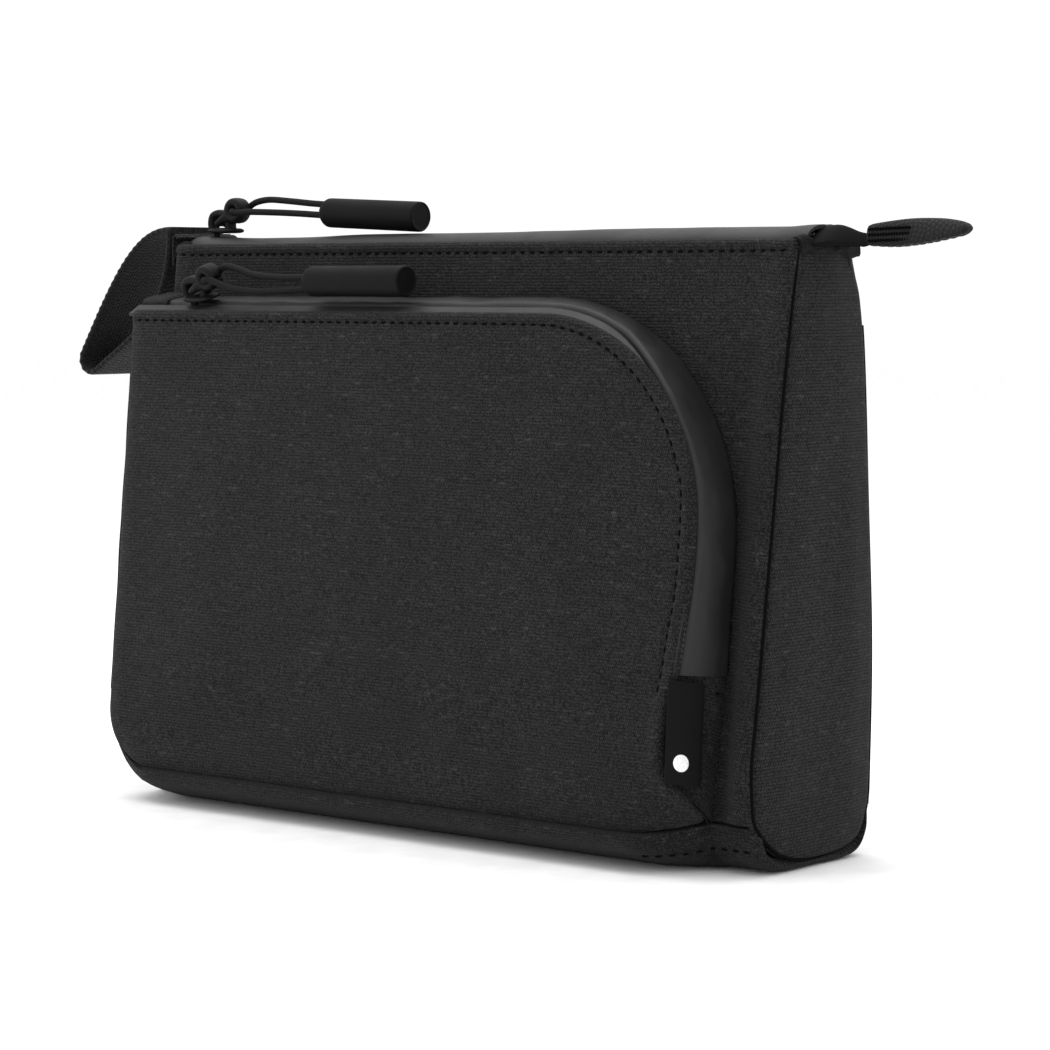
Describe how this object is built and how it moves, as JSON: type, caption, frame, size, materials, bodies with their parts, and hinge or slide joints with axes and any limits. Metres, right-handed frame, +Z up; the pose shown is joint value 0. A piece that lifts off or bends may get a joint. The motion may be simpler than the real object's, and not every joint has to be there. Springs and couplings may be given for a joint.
{
  "type": "cable organizer pouch",
  "caption": "Padded fabric pouch for cables with a zipped main compartment, a zipped front pocket, cord zip pulls, a wrist loop at one end and a finger tab at the other.",
  "frame": {"origin": "on the resting face, straight below the middle of the main zip's line", "axes": "+X along the top zip from the wrist loop's end to the finger tab's end, +Y to the back, +Z up"},
  "size_m": [0.2922, 0.0631, 0.1654],
  "materials": {
    "fabric_outer": "matte heathered weave",
    "foam": "open-cell foam",
    "lining": "matte plain weave",
    "binding": "ribbed tape",
    "zip_tape": "satin coated zip tape",
    "zip_coil": "satin",
    "slider_metal": "matte black",
    "cord": "braided",
    "grip": "matte moulded",
    "label": "smooth satin weave",
    "mesh": "open mesh",
    "elastic": "ribbed elastic",
    "webbing": "matte ribbed webbing"
  },
  "bodies": {
    "pouch": {"front_panel": "fabric_outer", "front_foam": "foam", "front_lining": "lining", "base_panel": "fabric_outer", "base_foam": "foam", "base_lining": "lining", "left_gusset": "fabric_outer", "left_gusset_foam": "foam", "left_gusset_lining": "lining", "left_gusset_binding": "binding", "right_gusset": "fabric_outer", "right_gusset_foam": "foam", "right_gusset_lining": "lining", "right_gusset_binding": "binding", "main_tape_front": "zip_tape", "main_coil_front": "zip_coil", "pocket_left_gusset": "fabric_outer", "pocket_right_gusset": "fabric_outer", "pocket_corner": "fabric_outer", "pocket_tape_outer": "zip_tape", "pocket_coil_outer": "zip_coil", "pocket_zip_cover": "fabric_outer", "label": "label", "cable_loops": "elastic", "wrist_anchor": "webbing"},
    "back_wall": {"back_panel": "fabric_outer", "back_foam": "foam", "back_lining": "lining", "main_tape_back": "zip_tape", "main_coil_back": "zip_coil", "mesh_pocket": "mesh", "mesh_pocket_binding": "binding"},
    "pocket_flap": {"pocket_panel": "fabric_outer", "pocket_foam": "foam", "pocket_lining": "lining", "pocket_tape_inner": "zip_tape", "pocket_coil_inner": "zip_coil"},
    "main_slider": {"main_slider": "slider_metal"},
    "main_link": {"main_link": "slider_metal"},
    "main_pull": {"main_cord": "cord", "main_grip": "grip"},
    "pocket_slider": {"pocket_slider": "slider_metal"},
    "pocket_link": {"pocket_link": "slider_metal"},
    "pocket_pull": {"pocket_cord": "cord", "pocket_grip": "grip"},
    "wrist_loop": {"wrist_loop": "webbing"},
    "zip_tab": {"zip_tail": "zip_tape", "zip_tab": "webbing"}
  },
  "joints": [
    {"name": "main_zip", "type": "slide", "parent": "pouch", "child": "main_slider", "axis": [1, 0, 0], "range_m": [0, 0.19]},
    {"name": "main_mouth", "type": "hinge", "parent": "pouch", "child": "back_wall", "pos_m": [0, 0.0215, 0.012], "axis": [-1, 0, 0], "range_deg": [0, 10]},
    {"name": "main_link_tilt", "type": "hinge", "parent": "main_slider", "child": "main_link", "pos_m": [-0.1, 0, 0.1582], "axis": [0, -1, 0], "range_deg": [0, 100]},
    {"name": "main_pull_swing", "type": "hinge", "parent": "main_link", "child": "main_pull", "pos_m": [-0.09377, 0, 0.1618], "axis": [0, -1, 0], "range_deg": [0, 70]},
    {"name": "pocket_zip", "type": "slide", "parent": "pouch", "child": "pocket_slider", "axis": [1, 0, 0], "range_m": [0, 0.1115]},
    {"name": "pocket_mouth", "type": "hinge", "parent": "pouch", "child": "pocket_flap", "pos_m": [0, -0.04157, 0.012], "axis": [1, 0, 0], "range_deg": [0, 12]},
    {"name": "pocket_link_tilt", "type": "hinge", "parent": "pocket_slider", "child": "pocket_link", "pos_m": [-0.085, -0.02494, 0.13983], "axis": [0, -0.9593, -0.2822], "range_deg": [0, 100]},
    {"name": "pocket_pull_swing", "type": "hinge", "parent": "pocket_link", "child": "pocket_pull", "pos_m": [-0.07877, -0.02595, 0.14328], "axis": [0, -0.9593, -0.2822], "range_deg": [0, 70]},
    {"name": "wrist_loop_swing", "type": "hinge", "parent": "pouch", "child": "wrist_loop", "pos_m": [-0.1072, 0, 0.1564], "axis": [0, 1, 0], "range_deg": [0, 80]},
    {"name": "zip_tab_flex", "type": "hinge", "parent": "pouch", "child": "zip_tab", "pos_m": [0.1073, 0, 0.1529], "axis": [0, 1, 0], "range_deg": [-50, 60], "stiffness_Nm_per_rad": 0.05}
  ],
  "couplings": [
    {"joint": "main_mouth", "follows": "main_zip", "rad_per_m": 0.918},
    {"joint": "pocket_mouth", "follows": "pocket_zip", "rad_per_m": 1.878}
  ]
}
